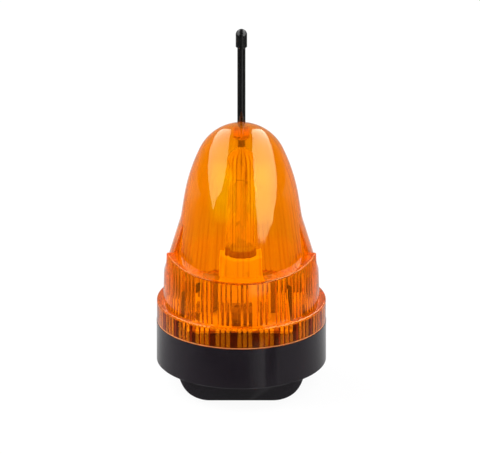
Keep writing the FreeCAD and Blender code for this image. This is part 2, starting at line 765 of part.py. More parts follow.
def main():
    os.makedirs("parts", exist_ok=True)
    for name, make in NODES.items():
        shape = make()
        if not shape.isValid():
            raise ValueError(name + " is not a valid shape")
        shape.exportStep(os.path.join("parts", name + ".step"))
        print(name, len(shape.Solids), round(shape.Volume, 1))


main()
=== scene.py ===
"""Finish and studio of an amber signal light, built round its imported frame."""
import math

import bmesh
import bpy
from mathutils import Matrix, Vector


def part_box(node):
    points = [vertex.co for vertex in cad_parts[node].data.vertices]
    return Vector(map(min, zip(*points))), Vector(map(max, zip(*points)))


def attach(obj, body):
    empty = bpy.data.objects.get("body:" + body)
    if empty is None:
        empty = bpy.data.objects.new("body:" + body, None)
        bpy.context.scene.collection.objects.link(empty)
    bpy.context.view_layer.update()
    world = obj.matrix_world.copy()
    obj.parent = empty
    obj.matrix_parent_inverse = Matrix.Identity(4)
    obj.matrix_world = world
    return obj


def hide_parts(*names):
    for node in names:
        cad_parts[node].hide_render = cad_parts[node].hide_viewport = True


bl_info = {
    "name": "Signal Light",
    "version": (1, 0, 0),
    "blender": (4, 5, 0),
    "location": "View3D > Sidebar > Signal Light",
    "description": "Builds the amber signal light's finish and its studio round the packed frame",
    "category": "Object",
}

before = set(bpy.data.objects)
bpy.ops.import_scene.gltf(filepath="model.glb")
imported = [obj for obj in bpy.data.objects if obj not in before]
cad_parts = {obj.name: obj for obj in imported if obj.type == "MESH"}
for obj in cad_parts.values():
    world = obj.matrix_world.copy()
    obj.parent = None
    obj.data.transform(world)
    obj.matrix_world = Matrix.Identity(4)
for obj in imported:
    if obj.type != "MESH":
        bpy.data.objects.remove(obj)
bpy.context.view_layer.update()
LENS_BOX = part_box("lens")
MM = 0.001

# Lens outline, in millimetres and degrees.
LENS_BOTTOM = LENS_BOX[0].z / MM
LENS_TOP = LENS_BOX[1].z / MM
FLANGE_RADIUS = LENS_BOX[1].x / MM
CAP_RADIUS = 30.0
CAP_TURN = 65.0
OGIVE_RADIUS = 122.0
CONE_TURN = 8.6
CONE_SLOPE = math.tan(math.radians(CONE_TURN))
FLARE_TOP = 112.4
FLARE_SLOPE = 0.298
FLARE_END_RADIUS = 50.0
COLLAR_TOP_RADIUS = 49.6
COLLAR_TOP = 96.0
COLLAR_FOOT_RADIUS = 50.7
SHELF_FRONT = 86.0
SHELF_RISE = 0.17
HORN_Y = -11.7
HORN_INNER_RADIUS = 39.4
RIM_ROUND = 0.7
# Height of the lens's lower edge band, whose faces are painted as a highlight.
RIM_LINE = 0.7
LEDGE = 56.5
LEDGE_ROUND = 0.9

# Bosses and holes of the lens, in millimetres.
LENS_SCREW_X = 44.0
BOSS_RADIUS = 4.5
BOSS_TOP = 74.0
WEB_X = 46.5
WEB_SIZE = (4.6, 2.4)
SCREW_HOLE_RADIUS = 2.0
SCREW_HOLE_TOP = 58.0
ANTENNA_Y = 12.5
CROWN_BOSS_RADIUS = 5.5
CROWN_BOSS_BOTTOM = 163.6
CROWN_BOSS_SINK = 1.2
PIN_HOLE_RADIUS = 1.3
ROD_RADIUS = 2.65
SOCKET_DEPTH = 3.0
ABOVE_DOME = 190.0
OVERSHOOT = 1.0

# Fineness of the lens mesh: steps along the stretches of its outline, and the distance of merged points.
CAP_STEPS = 18
OGIVE_STEPS = 7
CONE_STEPS = 2
WALL_STEPS = 3
ROUND_STEPS = 4
MEETING_ROUNDS = 12
MERGE_DISTANCE = 0.0008
SMOOTH_ANGLE = math.radians(34.0)
ROUND_SEGMENTS = 64

# Columns of the lens mesh, counted from the front: each group of the collar has one window and three ribs.
COLLAR_GROUPS = 24
WINDOW_COLUMNS = 8
RIB_COLUMNS = 7
RIBS_PER_GROUP = 3
GROUP_COLUMNS = WINDOW_COLUMNS + RIBS_PER_GROUP * RIB_COLUMNS
WINDOW_SHARE = WINDOW_COLUMNS / GROUP_COLUMNS
COLUMNS = COLLAR_GROUPS * GROUP_COLUMNS
STEP = 2 * math.pi / COLUMNS
FIRST_COLUMN = -14
RIB_START = FIRST_COLUMN * STEP
HORN_COLUMN = 148
FRONT_ROOM_COLUMN = 140
REAR_ROOM_COLUMN = 152

# The dome's ribs start below its pole and reach their depth over a length, in millimetres.
RIB_FADE_START = 12.0
RIB_FADE_LENGTH = 16.0
RIB_LAYERS = ("rib_depth", "rib_groups", "rib_start")

# Faces painted brighter as painted light: level ones under a height in millimetres, and the crest columns of
# the flange's ribs.
GLOW_TOP = 110.0
LEVEL = 0.75
CREST = (1, 6)
SLACK = 0.05
FACE_LAYERS = ("inner", "rim", "glow")

# Where the lens changes its tint, in metres: from one height to another, or the middle and reach of a painted
# light spot.
FLANGE_CHANGE = (LEDGE * MM - 0.002, LEDGE * MM - 0.001)
DEEP_CHANGE = (0.080, 0.088)
STREAK_CHANGE = (0.140, 0.115)
LIT_SPOT_HEIGHT = (0.1405, 0.020)
LIT_SPOT_SIDE = (0.0125, 0.010)

# Heights of a wave between which a rib, a streak or a flute sets in.
RIB_MASK = (0.35, 0.65)
STREAK_MASK = (0.75, 0.97)
FLUTE_MASK = (0.45, 0.85)

# Finishes of clear pieces; the clarity is the share of light that isn't scattered.
STREAK_SHADE = (0.85, 0.62, 1.0)
CLEAR = (1.0, 1.0, 1.0)
RIM_CLARITY = 0.55
GLOW_CLARITY = 0.75
GLOSS_TINT = (1.0, 0.95, 0.42, 1.0)
POLISHED = (0.02, 0.06)
PLASTIC_IOR = 1.49
GLASS_IOR = 1.47
THIN_GLASS_IOR = 1.1
FLUTES = 18

# Surface groups: what they put out, and what their grain, flow, scuffs and spots add to it.
SURFACE_OUTPUTS = ("Height", "Tone", "Rough")
SCUFF_MASK = (0.56, 0.74)
FLOW_IN_TONE = 0.7
FLOW_IN_GLOSS = 0.5
GRAIN_IN_GLOSS = 0.35
DRAWN_STRETCH = (1.0, 1.0, 0.06)
SPOT_MASK = (0.4, 0.7)
SPOTS_IN_GLOSS = 0.5

# Finishes: range of a group's roughness, strength and depth of the grain, and shade of the darker tone.
MOULDED_RANGE = (0.2, 0.9)
DRAWN_RANGE = (0.5, 1.1)
MOULDED_GRAIN = 0.35
DRAWN_GRAIN = 0.25
POLISHED_GRAIN = 0.05
GRAIN_DEPTH = 0.00002
MOULDED_SHADE = 0.08
AMBER_SHADE = 0.03
GLASS_SHADE = 0.05

# Outlines of the light panels, in metres, seen from the side as (Y, Z).
PANEL_X = 0.5
RIGHT_PANEL = (
    (-0.86, 0.037), (-0.93, 0.2), (-0.87, 0.47), (-0.79, 0.62), (-0.37, 1.22), (0.95, 1.6), (1.6, 1.5),
    (1.5, 0.58), (0.47, 0.52), (0.19, 0.39), (0.03, 0.25), (-0.16, 0.135), (-0.28, 0.066), (-0.54, 0.048),
)
LEFT_PANEL = (
    (-0.34, 0.10), (-0.40, 0.19), (-0.55, 0.27), (-0.60, 0.50), (-0.43, 0.85), (-0.05, 1.18), (0.9, 1.55),
    (1.6, 1.5), (1.5, 0.60), (0.37, 0.48), (0.02, 0.255), (-0.15, 0.21), (-0.29, 0.13),
)

# Floor, backdrop and soft lamps: sizes in metres, light as a share of white, and the depths of a direction
# between which the backdrop's light changes.
FLOOR_RADIUS = 8.0
FLOOR_WHITE = 0.93
PAPER = (0.95, 0.95, 0.95)
PAPER_IN_GLOSS = (0.02, 0.02, 0.02)
INSIDE_GAIN = 3.2
ROOM_CHANGE = (0.35, 0.95)
SOFT_CHANGE = (-0.2, 0.6)
SOFT_LIGHT = (0.1, 0.9)
LAMP_AIM = Vector((0.0, 0.0, 0.1))
FILL_PLACE = (0.0, -2.6, 1.6)
FILL_SIZE = 1.6
SIDE_PLACE = (0.9, 0.2, 0.8)
SIDE_SIZE = 1.2

# The floor in gloss, in metres and radians: a bright ground, and a window and a line in front of the base.
BESIDE_DEPTH = (-0.12, 0.08)
BESIDE_WIDTH = (0.14, 0.3)
BESIDE_GAIN = (1.5, 0.1)
BEHIND_DEPTH = (0.1, 0.45)
WINDOW_Y = -0.0275
WINDOW_END = (0.19, 0.22)
STRIP_START = (math.radians(4.0), math.radians(31.0))
STRIP_END = (math.radians(31.0), math.radians(33.0))
STRIP_LIGHT = 0.6
SIDE_START = (math.radians(46.0), math.radians(48.0))
SIDE_LIGHT = 0.3
LINE_TURN = (math.radians(26.0), math.radians(18.0))
LINE_REACH = (0.57, 0.17)
LINE_LIGHT = 2.2


class LensSettings(bpy.types.PropertyGroup):
    """Sizes and colours of the amber lens."""

    wall: bpy.props.FloatProperty(
        name="Wall", description="Thickness of the moulding", default=0.0025, unit="LENGTH")
    collar_rib: bpy.props.FloatProperty(
        name="Collar rib", description="How far a rib of the collar and flange stands inwards",
        default=0.0007, unit="LENGTH")
    dome_rib: bpy.props.FloatProperty(
        name="Dome rib", description="How far a rib of the dome stands inwards",
        default=0.00007, unit="LENGTH")
    dome_groups: bpy.props.IntProperty(
        name="Dome groups", description="Groups of ribs round the dome", default=18)
    dome_start: bpy.props.FloatProperty(
        name="Dome start", description="Where the first group of the dome starts, counted from the front",
        default=math.radians(-11.2), subtype="ANGLE")
    tint: bpy.props.FloatVectorProperty(
        name="Tint", description="Colour of the light that a surface lets through", size=3,
        default=(0.90, 0.247, 0.0), subtype="COLOR")
    # Painted light: the lighter tint of the bright spots painted on the dome at both sides of the lamp,
    # standing in for pools of light.
    lit_spot_tint: bpy.props.FloatVectorProperty(
        name="Lit spot tint", description="The same at the thin spots of the dome", size=3,
        default=(1.0, 0.52, 0.0), subtype="COLOR")
    deep_tint: bpy.props.FloatVectorProperty(
        name="Deep tint", description="The same below the collar's shelf", size=3,
        default=(0.98, 0.20, 0.0), subtype="COLOR")
    # Painted shade: the dark tint of the flange between its ribs, standing in for the shade seen through the
    # wall there.
    gap_shade_tint: bpy.props.FloatVectorProperty(
        name="Gap shade tint", description="The same in the flange between its ribs", size=3,
        default=(0.28, 0.02, 0.0), subtype="COLOR")
    # Painted light: the brighter tint of the ledge, the shelf and the flange's rib crests, standing in for
    # the light they catch.
    glow_tint: bpy.props.FloatVectorProperty(
        name="Glow tint", description="The same on the ledge, the shelf and the flange's ribs", size=3,
        default=(1.0, 0.23, 0.0), subtype="COLOR")
    # Painted highlight: the bright colour of the lens's lower edge, standing in for the light it catches.
    rim_highlight_tint: bpy.props.FloatVectorProperty(
        name="Rim highlight tint", description="Colour of the lens's lower edge", size=3,
        default=(1.0, 0.40, 0.14), subtype="COLOR")
    clarity: bpy.props.FloatProperty(
        name="Clarity", description="Share of light that a surface lets through without scattering it",
        default=0.85, subtype="FACTOR")


class BodySettings(bpy.types.PropertyGroup):
    """Colours of the moulded parts and the board."""

    black: bpy.props.FloatVectorProperty(
        name="Black moulding", description="Colour of the base and foot", size=3,
        default=(0.0062, 0.0034, 0.0070), subtype="COLOR")
    rod: bpy.props.FloatVectorProperty(
        name="Rod", description="Colour of the antenna's coating and tip", size=3,
        default=(0.0025, 0.0025, 0.0027), subtype="COLOR")
    rubber: bpy.props.FloatVectorProperty(
        name="Rubber", description="Colour of the grommet, the seal and the lead", size=3,
        default=(0.009, 0.009, 0.010), subtype="COLOR")
    holder: bpy.props.FloatVectorProperty(
        name="Lamp holder", description="Colour of the lamp holder", size=3,
        default=(0.86, 0.84, 0.78), subtype="COLOR")
    laminate: bpy.props.FloatVectorProperty(
        name="Laminate", description="Colour of the circuit board", size=3,
        default=(0.85, 0.80, 0.62), subtype="COLOR")


class StageSettings(bpy.types.PropertyGroup):
    """Camera and light of the studio."""

    elevation: bpy.props.FloatProperty(
        name="Elevation", description="Height of the view above the horizon", default=math.radians(21.0),
        subtype="ANGLE")
    focal: bpy.props.FloatProperty(
        name="Focal length", description="Camera lens in millimetres", default=800.0)
    view_width: bpy.props.FloatProperty(
        name="View width", description="Width of the picture at the object", default=0.3105, unit="LENGTH")
    aim: bpy.props.FloatVectorProperty(
        name="Aim", description="Point in the middle of the picture", size=3,
        default=(-0.0009, 0.0, 0.1057), subtype="TRANSLATION")
    right_light: bpy.props.FloatProperty(
        name="Right panel", description="Brightness of the light panel on the right", default=5.2)
    left_light: bpy.props.FloatProperty(
        name="Left panel", description="Brightness of the light panel on the left", default=4.0)
    fill_light: bpy.props.FloatProperty(
        name="Fill", description="Power of the soft fill behind the camera in watts", default=26.0)
    side_light: bpy.props.FloatVectorProperty(
        name="Side lamps", description="Power of the soft lamps on the left and right in watts", size=2,
        default=(24.0, 16.0))
    room: bpy.props.FloatProperty(
        name="Room", description="Light of the dark room in front of the object, in gloss", default=0.03)
    backdrop_gloss: bpy.props.FloatProperty(
        name="Backdrop in gloss", description="Light of the white backdrop in gloss", default=0.46,
        subtype="FACTOR")


# Objects


def mesh_object(name, shape):
    """A new object in the scene, with the mesh that was built for it."""
    mesh = bpy.data.meshes.new(name)
    shape.to_mesh(mesh)
    shape.free()
    piece = bpy.data.objects.new(name, mesh)
    bpy.context.scene.collection.objects.link(piece)
    return piece


def settle_modifiers(piece):
    """Turns what an object's modifiers make into its plain mesh."""
    depsgraph = bpy.context.evaluated_depsgraph_get()
    mesh = bpy.data.meshes.new_from_object(piece.evaluated_get(depsgraph))
    piece.modifiers.clear()
    old = piece.data
    piece.data = mesh
    bpy.data.meshes.remove(old)
    mesh.name = piece.name


def dress(material, *nodes):
    """Gives CAD nodes a finish."""
    for name in nodes:
        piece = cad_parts[name]
        piece.data.materials.clear()
        piece.data.materials.append(material)


# Shader nodes


def feed(tree, socket, value):
    """Gives a socket a number, or links it to another socket."""
    if isinstance(value, (int, float)):
        socket.default_value = value
    else:
        tree.links.new(value, socket)


def set_values(node, values):
    for label, value in values.items():
        node.inputs[label].default_value = value


def math_node(tree, operation, *values):
    node = tree.nodes.new("ShaderNodeMath")
    node.operation = operation
    for socket, value in zip(node.inputs, values):
        feed(tree, socket, value)
    return node.outputs["Value"]


def times(tree, first, second):
    return math_node(tree, "MULTIPLY", first, second)


def largest(tree, value, *others):
    for other in others:
        value = math_node(tree, "MAXIMUM", value, other)
    return value


def scaled(tree, value, low, high, new_low=0.0, new_high=1.0):
    """A value moved from one range to another, and held within it."""
    node = tree.nodes.new("ShaderNodeMapRange")
    tree.links.new(value, node.inputs["Value"])
    for label, number in (("From Min", low), ("From Max", high), ("To Min", new_low), ("To Max", new_high)):
        feed(tree, node.inputs[label], number)
    return node.outputs["Result"]


def bump_mask(tree, value, middle, reach):
    """A soft mask: 1 at the middle and 0 beyond the reach."""
    away = math_node(tree, "ABSOLUTE", math_node(tree, "SUBTRACT", value, middle))
    share = scaled(tree, away, 0.0, reach, 1.0, 0.0)
    return times(tree, share, math_node(tree, "SUBTRACT", 2.0, share))


def object_point(tree):
    return tree.nodes.new("ShaderNodeTexCoord").outputs["Object"]


def split_point(tree, point):
    parts = tree.nodes.new("ShaderNodeSeparateXYZ")
    tree.links.new(point, parts.inputs["Vector"])
    return parts.outputs


def front_angle(tree, place):
    """Angle round the axis, counted from the front."""
    return math_node(tree, "ARCTAN2", place["X"], times(tree, place["Y"], -1.0))


def rib_wave(tree, angle, groups, start, window, ribs):
    """Height of round ribs along an angle, in groups with a flat window between them."""
    turns = times(tree, math_node(tree, "SUBTRACT", angle, start), groups)
    phase = math_node(tree, "FRACT", math_node(tree, "DIVIDE", turns, 2 * math.pi))
    along = times(tree, scaled(tree, phase, window, 1.0), ribs)
    return math_node(tree, "ABSOLUTE", math_node(tree, "SINE", times(tree, along, math.pi)))


def noise(tree, point, scale, detail, roughness, distortion=0.0):
    node = tree.nodes.new("ShaderNodeTexNoise")
    tree.links.new(point, node.inputs["Vector"])
    feed(tree, node.inputs["Scale"], scale)
    set_values(node, {"Detail": detail, "Roughness": roughness, "Distortion": distortion})
    return node.outputs["Fac"]


def blend(tree, mask, first, second):
    """A colour between two others, each given as a colour or as a socket."""
    mix = tree.nodes.new("ShaderNodeMix")
    mix.data_type = "RGBA"
    tree.links.new(mask, mix.inputs["Factor"])
    for label, colour in (("A", first), ("B", second)):
        if isinstance(colour, tuple):
            mix.inputs[label].default_value = (*colour, 1.0)
        else:
            tree.links.new(colour, mix.inputs[label])
    return mix.outputs["Result"]


def mix_shaders(tree, share, first, second, output):
    mix = tree.nodes.new("ShaderNodeMixShader")
    for socket, source in zip(mix.inputs, (share, first, second)):
        tree.links.new(source, socket)
    tree.links.new(mix.outputs["Shader"], output.inputs["Surface"])


def lighter(colour, share):
    return tuple(c + (1.0 - c) * share for c in colour)


def darker(colour, share):
    return tuple(c * (1.0 - share) for c in colour)


# Surface groups


def new_group(name, inputs):
    """A shader group of a surface; gives it and the sockets of its inputs."""
    group = bpy.data.node_groups.new(name, "ShaderNodeTree")
    for label, value in inputs.items():
        socket = group.interface.new_socket(label, in_out="INPUT", socket_type="NodeSocketFloat")
        socket.default_value = value
    for label in SURFACE_OUTPUTS:
        group.interface.new_socket(label, in_out="OUTPUT", socket_type="NodeSocketFloat")
    return group, group.nodes.new("NodeGroupInput").outputs


def close_group(group, *values):
    """Links a surface group's height, tone and roughness to its outputs."""
    outside = group.nodes.new("NodeGroupOutput")
    for label, value in zip(SURFACE_OUTPUTS, values):
        group.links.new(value, outside.inputs[label])
    return group


def moulding_group():
    """Grain, flow and handling marks of a moulded surface."""
    inputs = {"Grain scale": 2200.0, "Flow scale": 35.0, "Mark scale": 140.0, "Marks": 0.3}
    group, inside = new_group("Moulded surface", inputs)
    point = object_point(group)
    grain = noise(group, point, inside["Grain scale"], detail=2.0, roughness=0.6)
    flow = noise(group, point, inside["Flow scale"], detail=5.0, roughness=0.55, distortion=0.6)
    scuffs = noise(group, point, inside["Mark scale"], detail=7.0, roughness=0.72, distortion=1.4)
    marks = times(group, scaled(group, scuffs, *SCUFF_MASK), inside["Marks"])
    tone = math_node(group, "MULTIPLY_ADD", flow, FLOW_IN_TONE, marks)
    dull = math_node(group, "MULTIPLY_ADD", flow, FLOW_IN_GLOSS, marks)
    rough = math_node(group, "MULTIPLY_ADD", grain, GRAIN_IN_GLOSS, dull)
    return close_group(group, grain, tone, rough)


def brushed_group():
    """Fine lines along one direction, with tarnish spots."""
    group, inside = new_group("Drawn metal", {"Line scale": 900.0, "Spot scale": 120.0})
    mapping = group.nodes.new("ShaderNodeMapping")
    mapping.inputs["Scale"].default_value = DRAWN_STRETCH
    group.links.new(object_point(group), mapping.inputs["Vector"])
    lines = noise(group, mapping.outputs["Vector"], inside["Line scale"], detail=3.0, roughness=0.6)
    spots = noise(
        group, object_point(group), inside["Spot scale"], detail=6.0, roughness=0.65, distortion=0.5)
    rough = math_node(group, "MULTIPLY_ADD", spots, SPOTS_IN_GLOSS, lines)
    return close_group(group, lines, scaled(group, spots, *SPOT_MASK), rough)


SHARED = {}


def place_group(tree, make, values):
    """Places a surface group, which is built once, with a material's own values; gives its outputs."""
    if make not in SHARED:
        SHARED[make] = make()
    node = tree.nodes.new("ShaderNodeGroup")
    node.node_tree = SHARED[make]
    set_values(node, values)
    return node.outputs


# Materials


def new_material(name):
    material = bpy.data.materials.new(name)
    material.use_nodes = True
    tree = material.node_tree
    tree.nodes.clear()
    return material, tree, tree.nodes.new("ShaderNodeOutputMaterial")


def new_finish(name):
    """A material of a piece, with its shader."""
    material, tree, output = new_material(name)
    shader = tree.nodes.new("ShaderNodeBsdfPrincipled")
    tree.links.new(shader.outputs["BSDF"], output.inputs["Surface"])
    return material, tree, shader, output


def link_surface(tree, shader, colour, surface, rough, strength, depth=GRAIN_DEPTH, spread=MOULDED_RANGE):
    """Links a colour, and a surface group's gloss and grain, to a shader; spread is the group's range."""
    tree.links.new(colour, shader.inputs["Base Color"])
    tree.links.new(scaled(tree, surface["Rough"], *spread, *rough), shader.inputs["Roughness"])
    bump = tree.nodes.new("ShaderNodeBump")
    set_values(bump, {"Strength": strength, "Distance": depth})
    tree.links.new(surface["Height"], bump.inputs["Height"])
    tree.links.new(bump.outputs["Normal"], shader.inputs["Normal"])


def moulded(name, colour, rough, grain=2200.0, depth=GRAIN_DEPTH, marks=0.3, lift=0.012, specular=0.5):
    """A moulded plastic or rubber: two close tones, uneven gloss and a fine grain."""
    material, tree, shader, _ = new_finish(name)
    surface = place_group(tree, moulding_group, {"Grain scale": grain, "Marks": marks})
    tone = blend(tree, surface["Tone"], darker(colour, MOULDED_SHADE), lighter(colour, lift))
    link_surface(tree, shader, tone, surface, rough, MOULDED_GRAIN, depth)
    set_values(shader, {"Specular IOR Level": specular})
    return material


def metal(name, colour, rough, tarnish=0.25, lines=900.0):
    """A plated or rolled metal with drawn lines and dull spots."""
    material, tree, shader, _ = new_finish(name)
    surface = place_group(tree, brushed_group, {"Line scale": lines})
    tone = blend(tree, surface["Tone"], colour, darker(colour, tarnish))
    link_surface(tree, shader, tone, surface, rough, DRAWN_GRAIN, spread=DRAWN_RANGE)
    set_values(shader, {"Metallic": 1.0})
    return material


def let_lamps_through(tree, shader, output, colour):
    """Light from the lamps passes straight through the glass, tinted."""
    lamp_light = tree.nodes.new("ShaderNodeLightPath").outputs["Is Shadow Ray"]
    clear = tree.nodes.new("ShaderNodeBsdfTransparent")
    clear.inputs["Color"].default_value = (*colour, 1.0)
    mix_shaders(tree, lamp_light, shader.outputs["BSDF"], clear.outputs["BSDF"], output)


def amber_plastic(name, tints, clarity, dome_ribs=None):
    """One side of the lens's wall.

    Its tints are those of the dome, of the bright spots painted on the dome as painted light, of all below
    the shelf, and of the flange between its ribs, painted darker as painted shade. The dome's ribs are given
    as the number of groups and the angle where they start.
    """
    tint, thin, deep, gap = tints
    material, tree, shader, output = new_finish(name)
    surface = place_group(tree, moulding_group, {"Grain scale": 500.0, "Flow scale": 22.0, "Marks": 0.2})
    place = split_point(tree, object_point(tree))
    angle = front_angle(tree, place)
    wave = rib_wave(tree, angle, COLLAR_GROUPS, RIB_START, WINDOW_SHARE, RIBS_PER_GROUP)
    ribbed = largest(tree, scaled(tree, place["Z"], *FLANGE_CHANGE), scaled(tree, wave, *RIB_MASK))
    # Painted shade: below the ledge, the flange between its ribs takes the dark gap tint.
    lower = blend(tree, ribbed, gap, deep)
    dome = blend(tree, surface["Tone"], tint, darker(tint, AMBER_SHADE))
    # Painted shade: darker streaks along the ribs of the lower dome, standing in for the lines their
    # refraction makes.
    if dome_ribs:
        ribs = rib_wave(tree, angle, *dome_ribs, WINDOW_SHARE, RIBS_PER_GROUP)
        low = scaled(tree, place["Z"], *STREAK_CHANGE)
        streaks = times(tree, scaled(tree, ribs, *STREAK_MASK), low)
        dome = blend(tree, streaks, dome, tuple(t * s for t, s in zip(tint, STREAK_SHADE)))
    # Painted light: bright spots on both sides of the dome at mid-height take the lit spot tint.
    side = math_node(tree, "ABSOLUTE", place["X"])
    spot = times(tree, bump_mask(tree, place["Z"], *LIT_SPOT_HEIGHT), bump_mask(tree, side, *LIT_SPOT_SIDE))
    dome = blend(tree, spot, dome, thin)
    whole = blend(tree, scaled(tree, place["Z"], *DEEP_CHANGE), lower, dome)
    link_surface(tree, shader, whole, surface, POLISHED, POLISHED_GRAIN)
    set_values(shader, {"Transmission Weight": clarity, "IOR": PLASTIC_IOR, "Specular Tint": GLOSS_TINT})
    let_lamps_through(tree, shader, output, tuple(math.sqrt(c) for c in tint))
    return material


def even_amber(name, tint, clarity):
    """A part of the lens's wall that has one tint all over."""
    return amber_plastic(name, [tuple(tint)] * 4, clarity)


def lamp_glass(name, colour, weight, ior=GLASS_IOR, flute_shade_colour=None):
    """Clear glass with painted shade in dark lines along its upright flutes; thin glass has a low refraction
    index.
    """
    material, tree, shader, output = new_finish(name)
    surface = place_group(tree, moulding_group, {"Grain scale": 900.0, "Flow scale": 60.0, "Marks": 0.2})
    if flute_shade_colour:
        turn = front_angle(tree, split_point(tree, object_point(tree)))
        wave = math_node(tree, "COSINE", times(tree, turn, FLUTES))
        # Painted shade: dark lines along the flutes, standing in for the lines their refraction makes.
        tone = blend(tree, scaled(tree, wave, *FLUTE_MASK), colour, flute_shade_colour)
    else:
        tone = blend(tree, surface["Tone"], colour, darker(colour, GLASS_SHADE))
    link_surface(tree, shader, tone, surface, POLISHED, POLISHED_GRAIN, GRAIN_DEPTH / 2)
    set_values(shader, {"Transmission Weight": weight, "IOR": ior})
    let_lamps_through(tree, shader, output, colour)
    return material


# Lens mesh


def arc(radius, centre, start, end, steps):
    """Points (radius, height) of an arc whose angles count in degrees from straight up."""
    points = []
    for i in range(steps + 1):
        angle = math.radians(start + (end - start) * i / steps)
        points.append((centre[0] + radius * math.sin(angle), centre[1] + radius * math.cos(angle)))
    return points


def run(first, last, steps):
    """Points of a straight run, without its first one."""
    return [tuple(a + (b - a) * i / steps for a, b in zip(first, last)) for i in range(1, steps + 1)]


def dome_outline(inset):
    """The bullet's outline from its pole to the top of the flare."""
    cap_centre = (0.0, LENS_TOP - CAP_RADIUS)
    turn = math.radians(CAP_TURN)
    shift = CAP_RADIUS - OGIVE_RADIUS
    ogive_centre = (shift * math.sin(turn), cap_centre[1] + shift * math.cos(turn))
    points = arc(CAP_RADIUS - inset, cap_centre, 0.0, CAP_TURN, CAP_STEPS)
    points += arc(OGIVE_RADIUS - inset, ogive_centre, CAP_TURN, 90.0 - CONE_TURN, OGIVE_STEPS)[1:]
    end = points[-1]
    radius = end[0] + (end[1] - FLARE_TOP) * CONE_SLOPE
    return points + run(end, (radius, FLARE_TOP), CONE_STEPS)


class LensWall:
    """One side of the lens's wall, in millimetres, moved in from the outside by an inset.

    The cone, the flare and the collar are given as radius by height, and the shelf as a height.
    """

    def __init__(self, inset):
        self.inset = inset
        self.flange = FLANGE_RADIUS - inset
        self.dome = dome_outline(inset)
        self.top = self.dome[-1]
        self.join = (COLLAR_FOOT_RADIUS - inset, LEDGE - inset)
        radius = FLARE_END_RADIUS - inset
        self.flare_end = (radius, FLARE_TOP - (radius - self.top[0]) / FLARE_SLOPE)

    def cone(self, height):
        return self.top[0] + (FLARE_TOP - height) * CONE_SLOPE

    def flare(self, height):
        return self.top[0] + (FLARE_TOP - height) * FLARE_SLOPE

    def collar(self, height):
        share = (height - LEDGE) / (COLLAR_TOP - LEDGE)
        return COLLAR_FOOT_RADIUS + (COLLAR_TOP_RADIUS - COLLAR_FOOT_RADIUS) * share - self.inset

    def shelf(self, radius, angle):
        return SHELF_FRONT - self.inset + SHELF_RISE * (COLLAR_TOP_RADIUS - radius * math.cos(angle))

    def meet_shelf(self, wall, angle_at):
        """Where a wall, given as radius by height, meets the sloping shelf."""
        height = SHELF_FRONT
        for _ in range(MEETING_ROUNDS):
            radius = wall(height)
            height = self.shelf(radius, angle_at(radius))
        return radius, height


def horn_angle(radius):
    """Angle from the front at which a radius meets the flat end of a horn."""
    if radius >= COLLAR_FOOT_RADIUS:
        return HORN_COLUMN * STEP
    return math.acos(-HORN_Y / max(radius, HORN_INNER_RADIUS))


def outer_foot(wall):
    """Ledge with its rounded edge, and flange."""
    edge = arc(LEDGE_ROUND, (wall.flange - LEDGE_ROUND, LEDGE - LEDGE_ROUND), 0.0, 90.0, ROUND_STEPS)
    return edge + [(wall.flange, LENS_BOTTOM + RIM_LINE), (wall.flange, LENS_BOTTOM)]


def outer_front(wall, share):
    """Outer outline at a share of the way from the front's middle to a horn, as (radius, height, angle)."""
    def angle_at(radius):
        return share * horn_angle(radius)

    rim_radius, rim = wall.meet_shelf(wall.collar, angle_at)
    slope = SHELF_RISE * math.cos(angle_at(rim_radius))
    points = wall.dome + run(wall.top, wall.meet_shelf(wall.cone, angle_at), WALL_STEPS)
    points.append(wall.meet_shelf(wall.flare, angle_at))
    for radius, height in arc(RIM_ROUND, (rim_radius - RIM_ROUND, rim - RIM_ROUND), 0.0, 90.0, ROUND_STEPS):
        points.append((radius, height + slope * (rim_radius - radius)))
    points.append(wall.join)
    return [(r, z, angle_at(r)) for r, z in points + outer_foot(wall)]


def outer_rear(wall, share):
    """Outer outline at a share of the way from the right horn round the back to the left one."""
    cross = wall.meet_shelf(wall.flare, horn_angle)
    points = wall.dome + run(wall.top, cross, WALL_STEPS) + [wall.flare_end, wall.join] + outer_foot(wall)
    placed = []
    for radius, height in points:
        start = horn_angle(radius)
        placed.append((radius, height, start + share * 2.0 * (math.pi - start)))
    return placed


def inner_foot(wall):
    """Underside of the ledge, and inside of the flange."""
    return [(wall.flange, wall.join[1]), (wall.flange, LENS_BOTTOM)]


def inner_outline(wall, place, column, settings):
    """Inner outline in front of, between or behind the horns' end walls.

    A point is its radius, height and angle, and its rib's depth, groups and start.
    """
    deep, shallow = settings.collar_rib / MM, settings.dome_rib / MM
    dome_style = (float(settings.dome_groups), settings.dome_start)
    collar_style = (float(COLLAR_GROUPS), RIB_START)
    angle = column * STEP
    meeting = REAR_ROOM_COLUMN * STEP if place == "rear" else angle
    cross = wall.meet_shelf(wall.flare, lambda radius: meeting)
    rows = []
    for radius, height in wall.dome:
        share = (wall.dome[0][1] - RIB_FADE_START - height) / RIB_FADE_LENGTH
        rows.append((radius, height, angle, shallow * min(max(share, 0.0), 1.0), *dome_style))
    low = cross if place == "rear" else wall.meet_shelf(wall.cone, lambda radius: angle)
    for radius, height in run(wall.top, low, WALL_STEPS):
        rows.append((radius, height, angle, shallow, *dome_style))
    rows.append((*cross, angle, 0.0, *collar_style))
    start = wall.meet_shelf(wall.collar, lambda radius: angle) if place == "front" else wall.flare_end
    for radius, height in [start] + run(start, wall.join, WALL_STEPS) + inner_foot(wall):
        rows.append((radius, height, angle, deep, *collar_style))
    return rows


